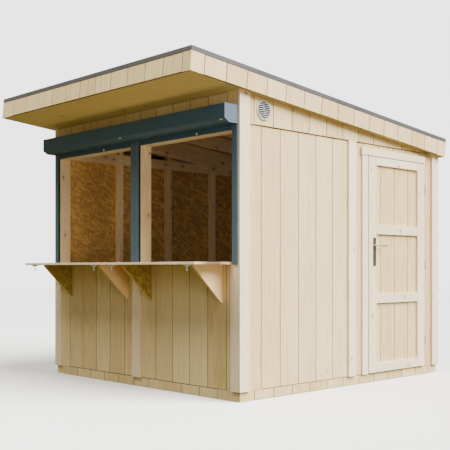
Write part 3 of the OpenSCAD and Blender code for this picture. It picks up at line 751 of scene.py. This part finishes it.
# ------------------------------------------------------------------ shutter guides
# Drawn aluminium channels, coated like the boxes, with soft corners. The black groove
# that takes the slats has a brush seal along both lips.
GUIDE_LIGHT = (0.078, 0.126, 0.175, 1)
GUIDE_DARK = (0.058, 0.098, 0.138, 1)
INNER_LIP = 0.053
OUTER_LIP = 1.143
LIP_FACE = 0.0005
GROOVE_HALF = 0.0056
GROOVE_NEAREST = 0.01
GROOVE_FARTHEST = 1.18
BRUSH_T = 0.0013
BRUSH_DEEP = 0.009
BRUSH_OUT = 0.0055
BRUSH_FOOT = 1.004
BRUSH_TOP = 1.947
BRISTLE_BLACK = (0.006, 0.006, 0.007, 1)
BRISTLE_GREY = (0.030, 0.030, 0.032, 1)
guide_metal = sheet_metal("guide_metal", GUIDE_LIGHT, GUIDE_DARK, 0.38, peel=0.12)


def brush_fibre(name):
    """Dense black bristles."""
    material, start, surface = blank(name)
    place = start.make("ShaderNodeTexCoord", out="Object")
    fibres = noise(vector("MULTIPLY", place, (60.0, 60.0, 900.0)))
    coated(surface, tint(fibres, BRISTLE_BLACK, BRISTLE_GREY), fibres * 0.2 + 0.7, fibres, 0.6, 0.0006)
    return material


brush = brush_fibre("brush_seal")
low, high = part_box("shutter_guides")
groove_y = (low.y + high.y) / 2
guides = planed("shutter_guides", guide_metal, edge=0.0014)
guides.data.materials.append(brush)
for face in guides.data.polygons:
    from_middle = abs(face.center.x)
    from_lip = min(abs(from_middle - lip) for lip in (INNER_LIP, OUTER_LIP))
    in_line = abs(face.center.y - groove_y) < GROOVE_HALF
    if in_line and GROOVE_NEAREST < from_middle < GROOVE_FARTHEST and from_lip > LIP_FACE:
        face.material_index = 1
seals = []
for lip, inward in ((-OUTER_LIP, -1), (-INNER_LIP, 1), (INNER_LIP, -1), (OUTER_LIP, 1)):
    for side in (-1, 1):
        root = groove_y + side * BRUSH_OUT
        tip = root - side * BRUSH_T
        reach = lip + inward * BRUSH_DEEP
        seal = block("seal", (min(lip, reach), min(root, tip), BRUSH_FOOT),
                     (max(lip, reach), max(root, tip), BRUSH_TOP))
        rounded(seal, 0.0005, segments=1)
        seals.append(seal)
fixed(joined(seals, "guide_brush_seals"), brush)

# ------------------------------------------------------------------ shutter end slats
# The rolled-up shutters' bottom bars, hollow aluminium with rounded lips, and a round
# lock with a key slot in each, right of the opening's middle.
LOCK_X = 0.758
LOCK_PITCH = 1.196
LOCK_Z = 1.9625
LOCK_R = 0.0085
LOCK_SUNK = 0.0002
SLOT_W = 0.0016
SLOT_H = 0.0070
slats = from_cad("shutter_end_slats", "shutter_end_slats_rounded")
rounded(slats, 0.0022, segments=3)
low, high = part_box("shutter_end_slats")
fixed(slats, shutter_metal)
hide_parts("shutter_end_slats")
locks = []
for x in (LOCK_X - LOCK_PITCH, LOCK_X):
    lock = turned("lock", [(LOCK_R, 0), (LOCK_R, 0.0035), (0.86 * LOCK_R, 0.0046), (0.60 * LOCK_R, 0.0046),
                           (0.55 * LOCK_R, 0.0036), (0.02 * LOCK_R, 0.0036)], sides=28)
    slot = block("slot", (x - SLOT_W / 2, low.y - 0.0040, LOCK_Z - SLOT_H / 2),
                 (x + SLOT_W / 2, low.y - 0.0030, LOCK_Z + SLOT_H / 2))
    rounded(slot, 0.0003, segments=1)
    locks += [placed(lock, (x, low.y + LOCK_SUNK, LOCK_Z), (0, -1, 0)), slot]
fixed(joined(locks, "shutter_locks"), bright_zinc)

# ------------------------------------------------------------------ counters
# Three glued boards each, with rounded edges, fixed on the brackets in front of each
# opening.
COUNTER_JOINTS = (-1.5167, -1.3983)
counter_boards = timber("counter_boards", pale=(0.82, 0.72, 0.52, 1), deep=(0.66, 0.52, 0.31, 1),
                        knotty=0.35)
tops = boarded("counters", Y, Z, COUNTER_JOINTS, X, vee=0.0010)
rounded(tops, 0.0030, segments=3, beyond=60)
fixed(tops, counter_boards)

# ------------------------------------------------------------------ counter brackets
# Triangles cut from faced board: the outer face is sanded and pale, the inner one raw
# and mottled. They are screwed to the wall and to the counters in mirrored pairs.
COUNTER_MIDDLE = 0.570
bracket_timber = timber("bracket_timber", pale=(0.96, 0.67, 0.33, 1), deep=(0.88, 0.56, 0.25, 1),
                        knotty=0.12)
bracket_raw = strand_board("bracket_raw_face", pale=(0.46, 0.31, 0.052, 1), deep=(0.26, 0.165, 0.018, 1))
brackets = planed("counter_brackets", bracket_timber, edge=0.0015, grain=[0, 1, 0])
brackets.data.materials.append(bracket_raw)
for face in brackets.data.polygons:
    middle = math.copysign(COUNTER_MIDDLE, face.center.x)
    if (middle - face.center.x) * face.normal.x > 0 and abs(face.normal.x) > 0.9:
        face.material_index = 1

# ------------------------------------------------------------------ counter catches
# Zinc-plated bolts under each counter's front: a plate held by four screws, a rounded
# strap across it, and a drop pin with a ball end.
CATCHES_X = (-1.025, -0.130, 0.115, 1.010)
CATCH_HALF = 0.037
CATCH_T = 0.003
STRAP_HALF_W = 0.024
STRAP_HALF_D = 0.011
STRAP_FOOT = 0.012
STRAP_HEAD = 0.002
CATCH_SCREW = 0.0038
CATCH_SCREW_X = 0.029
CATCH_SCREW_Y = 0.010
CATCH_PIN = [(0.0062, 0), (0.0062, -0.006), (0.0035, -0.0075), (0.0035, -0.0330), (0.0048, -0.0350),
             (0.0064, -0.0385), (0.0064, -0.0410), (0.0048, -0.0440), (0.0015, -0.0460)]
catches = []
low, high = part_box("counter_catches")
catch_y = (low.y + high.y) / 2
top_z = high.z
for x in CATCHES_X:
    plate = block("plate", (x - CATCH_HALF, low.y, top_z - CATCH_T), (x + CATCH_HALF, high.y, top_z))
    rounded(plate, 0.0008)
    strap = block("strap", (x - STRAP_HALF_W, catch_y - STRAP_HALF_D, top_z - STRAP_FOOT),
                  (x + STRAP_HALF_W, catch_y + STRAP_HALF_D, top_z - STRAP_HEAD))
    rounded(strap, 0.0040, segments=3)
    catches += [plate, strap, placed(turned("pin", CATCH_PIN), (x, catch_y, top_z))]
    for dx in (-CATCH_SCREW_X, CATCH_SCREW_X):
        for dy in (-CATCH_SCREW_Y, CATCH_SCREW_Y):
            spot = (x + dx, catch_y + dy, top_z - 0.0029)
            catches.append(screw(spot, (0, 0, -1), CATCH_SCREW, sides=12))
fixed(joined(catches, "counter_catch_bolts"), bright_zinc)
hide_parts("counter_catches")

# ------------------------------------------------------------------ vent grille
# A round moulded grille, screwed over the hole in the gable: a rounded rim, slanting
# louvres across a divider, an insect net behind them and one screw at its foot.
VENT_Y = -1.030
VENT_Z = 2.112
VENT_FACE = 1.206
VENT_R = 0.075
VENT_IN = 0.0615
RIM_H = 0.0080
RIM_FOLD = 0.0068
LOUVRES = 7
LOUVRE_SLANT = 32
LOUVRE_RISE = 14
LOUVRE_OUT = 0.0046
BLADE_T = 0.0026
BLADE_DEEP = 0.0060
DIVIDER_HALF = 0.0014
DIVIDER_OUT = 0.0022
NET_OUT = 0.0013
NET_R = VENT_IN - 0.0002
SCREW_DOWN = 0.0685
VENT_LIGHT = (0.60, 0.59, 0.57, 1)
VENT_DARK = (0.38, 0.375, 0.36, 1)
WIRE_GREY = (0.045, 0.045, 0.043, 1)
# The net's holes are painted shade: near black for the dark vent seen through them.
HOLE_PAINTED_SHADE = (0.012, 0.012, 0.012, 1)


def moulded(name, light, dark, rough=0.42):
    """Smooth moulding with faint clouds of tone."""
    material, start, surface = blank(name)
    place = start.make("ShaderNodeTexCoord", out="Object")
    cloud = noise(place, 9.0, 3.0)
    roughness = cloud * 0.10 + (rough - 0.05)
    coated(surface, tint(cloud, dark, light), roughness, noise(place, 700.0, 2.0), 0.08, 0.0003)
    return material


def insect_net(name):
    """Woven wire in a fine square mesh; its holes are painted near black, painted shade for the dark vent
    behind.
    """
    material, start, surface = blank(name)
    place = start.make("ShaderNodeSeparateXYZ", None, {0: start.make("ShaderNodeTexCoord", out="Object")})
    wires = start.math("SINE", place.other("Y") * 2600.0) * start.math("SINE", place.other("Z") * 2600.0)
    shaded_holes = ease(wires * wires, 0.05, 0.25)
    coated(surface, tint(shaded_holes, WIRE_GREY, HOLE_PAINTED_SHADE), shaded_holes * 0.3 + 0.5, wires, 0.4, 0.0004)
    return material


vent_metal = moulded("vent_metal", VENT_LIGHT, VENT_DARK)
rim_outside = [(VENT_R, 0), (VENT_R, 0.0045), (VENT_R - 0.0012, RIM_FOLD), (VENT_R - 0.0035, RIM_H)]
rim_inside = [(VENT_IN + 0.0035, RIM_H), (VENT_IN + 0.0010, RIM_FOLD), (VENT_IN, 0.0048), (VENT_IN, 0.0012)]
rim = turned("rim", rim_outside + rim_inside, sides=72)
blades = []
for i in range(LOUVRES):
    height = (i + 1 - (LOUVRES + 1) / 2) * 2 * VENT_IN / (LOUVRES + 1)
    half = math.sqrt(VENT_IN ** 2 - height ** 2)
    blade = block("blade", (-BLADE_DEEP / 2, -half, -BLADE_T / 2), (BLADE_DEEP / 2, half, BLADE_T / 2))
    rounded(blade, 0.0005)
    blade.rotation_euler.y = math.radians(LOUVRE_SLANT)
    blade.location.z = height
    blades.append(settled(blade))
divider = block("divider", (-BLADE_DEEP / 2, -DIVIDER_HALF, -VENT_IN), (DIVIDER_OUT, DIVIDER_HALF, VENT_IN))
rounded(divider, 0.0008)
louvres = joined([divider, *blades], "louvres")
louvres.rotation_euler.x = math.radians(LOUVRE_RISE)
louvres.location = (VENT_FACE + LOUVRE_OUT, VENT_Y, VENT_Z)
grille = [placed(rim, (VENT_FACE, VENT_Y, VENT_Z), (1, 0, 0)), settled(louvres)]
net = turned("net", [(NET_R, 0), (NET_R, 0.0003), (NET_R - 0.0004, 0.0005)], sides=48)
fixed(placed(net, (VENT_FACE + NET_OUT, VENT_Y, VENT_Z), (1, 0, 0)), insect_net("vent_net"))
vent_screw = screw((VENT_FACE + RIM_H - 0.0002, VENT_Y, VENT_Z - SCREW_DOWN), (1, 0, 0), 0.0034, sides=12)
vent_screw.name = "vent_screw"
fixed(vent_screw, roof_metal)
fixed(joined(grille, "vent_grille_moulded"), vent_metal)
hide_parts("vent_grille")

# ------------------------------------------------------------------ door casing
# A jamb board on the lock side and a deeper head board that runs past it, planed and
# nailed over the cladding.
CASING_HEAD = 1.902
casing = boarded("door_casing", Z, X, [CASING_HEAD], None, vee=0)
rounded(casing, 0.0025, beyond=60)
fixed(casing, trim)

# ------------------------------------------------------------------ door leaf
# Tongued boards nailed behind a frame of two stiles and four rails, all planed with
# rounded edges, so that three boarded panels show.
DOOR_JOINTS = (0.410, 0.614, 0.815)
fixed(boarded("door_panels", Y, X, DOOR_JOINTS, Z), cladding, body="door")
planed("door_stiles", trim, edge=0.0025, body="door")
planed("door_rails", trim, edge=0.0025, body="door")

# ------------------------------------------------------------------ hinges
# Three lift-off hinges of zinc-plated steel: the pins' halves are screwed to the frame
# and the knuckles' halves to the leaf's edge.
planed("hinge_pins", zinc, edge=0.0006)
planed("door_hinges", zinc, edge=0.0006, body="door")

# ------------------------------------------------------------------ lock plates
# Long plates of brushed steel on both faces, with rounded corners, a collar round the
# spindle, a lock cylinder whose keyhole is a black block of painted shade, and a screw at each end.
LEVER_Y = 0.302
LEVER_Z = 1.150
PLATE_LOW = 0.977
PLATE_HIGH = 1.217
PLATE_HALF = 0.020
PLATE_FACES = ((1.218, 1), (1.180, -1))
PLATE_SCREW = 0.0042
PLATE_SCREW_IN = 0.014
COLLAR_R = 0.0108
COLLAR_T = 0.0019
CYLINDER_Z = 1.078
TONGUE_HALF = 0.0052
KEYHOLE_HALF = 0.0009
LOCK_LIGHT = (0.30, 0.31, 0.29, 1)
LOCK_DARK = (0.15, 0.155, 0.145, 1)


def brushed_steel(name, light, dark):
    """Steel with fine upright brush lines."""
    material, start, surface = blank(name, metallic=0.9)
    place = start.make("ShaderNodeTexCoord", out="Object")
    lines = noise(vector("MULTIPLY", place, (900.0, 900.0, 12.0)), 1.0, 3.0)
    cloud = noise(place, 14.0, 3.0)
    coated(surface, tint(lines * 0.5 + cloud * 0.5, dark, light), lines * 0.18 + 0.24, lines, 0.15, 0.0003)
    return material


def is_corner(edge):
    """One of the short edges through a plate's thickness at its corners."""
    ends = [plates.data.vertices[i].co for i in edge.vertices]
    at_side = all(abs(abs(co.y - LEVER_Y) - PLATE_HALF) < 0.0005 for co in ends)
    return at_side and abs((ends[0] - ends[1]).normalized().x) > 0.9


lock_steel = brushed_steel("lock_steel", LOCK_LIGHT, LOCK_DARK)
plates = from_cad("lock_plates", "lock_plates_shaped")
picked(plates, "edges", is_corner)
with editing(plates, everything=False):
    bpy.ops.mesh.bevel(offset=0.009, segments=5, affect="EDGES")
rounded(plates, 0.0006, beyond=50)
fittings = [plates]
keyholes = []
for face_x, side in PLATE_FACES:
    for z in (PLATE_LOW + PLATE_SCREW_IN, PLATE_HIGH - PLATE_SCREW_IN):
        fittings.append(screw((face_x - side * 0.0002, LEVER_Y, z), (side, 0, 0), PLATE_SCREW))
    bpy.ops.object.select_all(action="DESELECT")
    bpy.ops.mesh.primitive_torus_add(major_radius=COLLAR_R, minor_radius=COLLAR_T,
                                     major_segments=36, minor_segments=8)
    collar = bpy.context.object
    collar.scale = (1, 1, 0.8)
    fittings.append(placed(collar, (face_x, LEVER_Y, LEVER_Z), (side, 0, 0)))
    tongue = block("tongue", (face_x - 0.0005, LEVER_Y - TONGUE_HALF, CYLINDER_Z - 0.0240),
                   (face_x + side * 0.0040, LEVER_Y + TONGUE_HALF, CYLINDER_Z - 0.0040))
    rounded(tongue, 0.0020, segments=3)
    fittings.append(tongue)
    # Each keyhole is a thin block in the black bristle colour, standing on the cylinder: painted shade for
    # the dark slot.
    keyholes.append(block("keyhole", (face_x, LEVER_Y - KEYHOLE_HALF, CYLINDER_Z - 0.0045),
                          (face_x + side * 0.0043, LEVER_Y + KEYHOLE_HALF, CYLINDER_Z + 0.0045)))
fixed(joined(keyholes, "keyholes"), brush, body="door")
fixed(joined(fittings, "lock_plates_shaped"), lock_steel, body="door")
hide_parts("lock_plates")

# ------------------------------------------------------------------ lever
# One bent bar through the leaf: a round neck each side, a tight bend and a grip that
# swells and then tapers to a rounded end.
GRIP_OUT = 1.252
GRIP_IN = 1.146
BEND = 0.012
GRIP_END = 0.4375
NECK_R = 0.0078
bend_arc = [math.radians(a) for a in range(0, 91, 15)]
bar_path = []
for face_x, side in ((GRIP_IN, -1), (GRIP_OUT, 1)):
    arc = [(face_x - side * BEND * (1 - math.sin(a)), LEVER_Y + BEND * (1 - math.cos(a)), 1.0)
           for a in bend_arc]
    swell = [(LEVER_Y + 0.035, 1.04), (LEVER_Y + 0.080, 1.06), (GRIP_END - 0.010, 0.98),
             (GRIP_END - 0.004, 0.86), (GRIP_END - 0.001, 0.62), (GRIP_END, 0.25)]
    bar_path += (arc + [(face_x, y, size) for y, size in swell])[::side]
bpy.ops.object.select_all(action="DESELECT")
bpy.ops.curve.primitive_nurbs_path_add()
lever = bpy.context.object
lever.name = "door_lever_bent"
lever.data.splines.clear()
spline = lever.data.splines.new("POLY")
spline.points.add(len(bar_path) - 1)
for point, (x, y, size) in zip(spline.points, bar_path):
    point.co = (x, y, LEVER_Z, 1)
    point.radius = size
lever.data.dimensions = "3D"
lever.data.bevel_depth = NECK_R
lever.data.bevel_resolution = 4
lever.data.use_fill_caps = True
only(lever)
bpy.ops.object.convert(target="MESH")
lever_steel = brushed_steel("lever_steel", light=(0.72, 0.71, 0.67, 1), dark=(0.52, 0.51, 0.48, 1))
fixed(lever, lever_steel, body="lever")
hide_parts("door_lever")

# ------------------------------------------------------------------ nails
# Pairs of small-headed nails hold the battens and the corner boards, driven just below
# the face at each board's ends and in between.
NAIL_ROWS = (0.110, 0.420, 0.730, 1.040, 1.350, 1.660, 1.960)
FRONT_NAILS_X = (-1.172, -1.140, -0.020, 0.020, 1.140, 1.172)
SIDE_NAILS_Y = (-1.250, -1.205, -0.069, -0.011, 1.205, 1.250)
FRONT_FACE = -1.2800
SIDE_FACE = 1.215
SILL = 0.95
head = turned("nail", [(0.0026, 0), (0.0026, 0.0002), (0.0016, 0.0007), (0.0003, 0.0008)], sides=8)
spots = []
for z in NAIL_ROWS:
    if z < SILL:
        spots += [((x, FRONT_FACE, z), (0, -1, 0)) for x in FRONT_NAILS_X]
    spots += [((side * SIDE_FACE, y, z), (side, 0, 0)) for y in SIDE_NAILS_Y for side in (1, -1)]
nails = [placed(copied(head, "nail"), spot, facing) for spot, facing in spots]
bpy.data.objects.remove(head)
fixed(joined(nails, "board_nails"), zinc)
